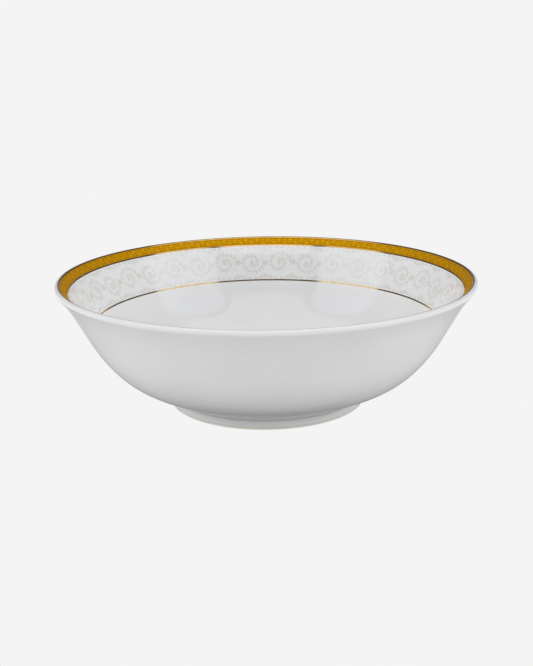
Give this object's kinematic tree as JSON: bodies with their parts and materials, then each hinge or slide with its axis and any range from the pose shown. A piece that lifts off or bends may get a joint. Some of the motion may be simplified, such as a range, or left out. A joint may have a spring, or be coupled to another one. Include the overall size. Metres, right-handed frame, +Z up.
{
  "type": "porcelain serving bowl",
  "caption": "Round footed porcelain serving bowl with a flared lip, a pale printed scroll border inside, an encrusted gold rim band and fine gold lines.",
  "frame": {"origin": "centre of the foot ring's bearing plane, the surface that the bowl stands on", "axes": "+Z up along the axis of revolution, out of the bowl's mouth; X and Y are free, because every piece is round"},
  "size_m": [0.2286, 0.2286, 0.0705],
  "materials": {
    "bisque": "fired and unglazed, fine matt clay",
    "glaze": "clear gloss over white porcelain",
    "border_print": "low-contrast ivory and grey-olive print sunk into the glaze, gloss",
    "satin_gold": "etched and encrusted satin gold",
    "bright_gold": "bright burnished gold"
  },
  "bodies": {
    "root": {"porcelain_body": "bisque", "foot_ring": "bisque", "glaze_coat": "glaze", "base_glaze": "glaze", "border_decal": "border_print", "gold_band": "satin_gold", "gold_rim_line": "bright_gold", "gold_band_line": "bright_gold", "gold_hairline": "bright_gold"}
  },
  "joints": []
}
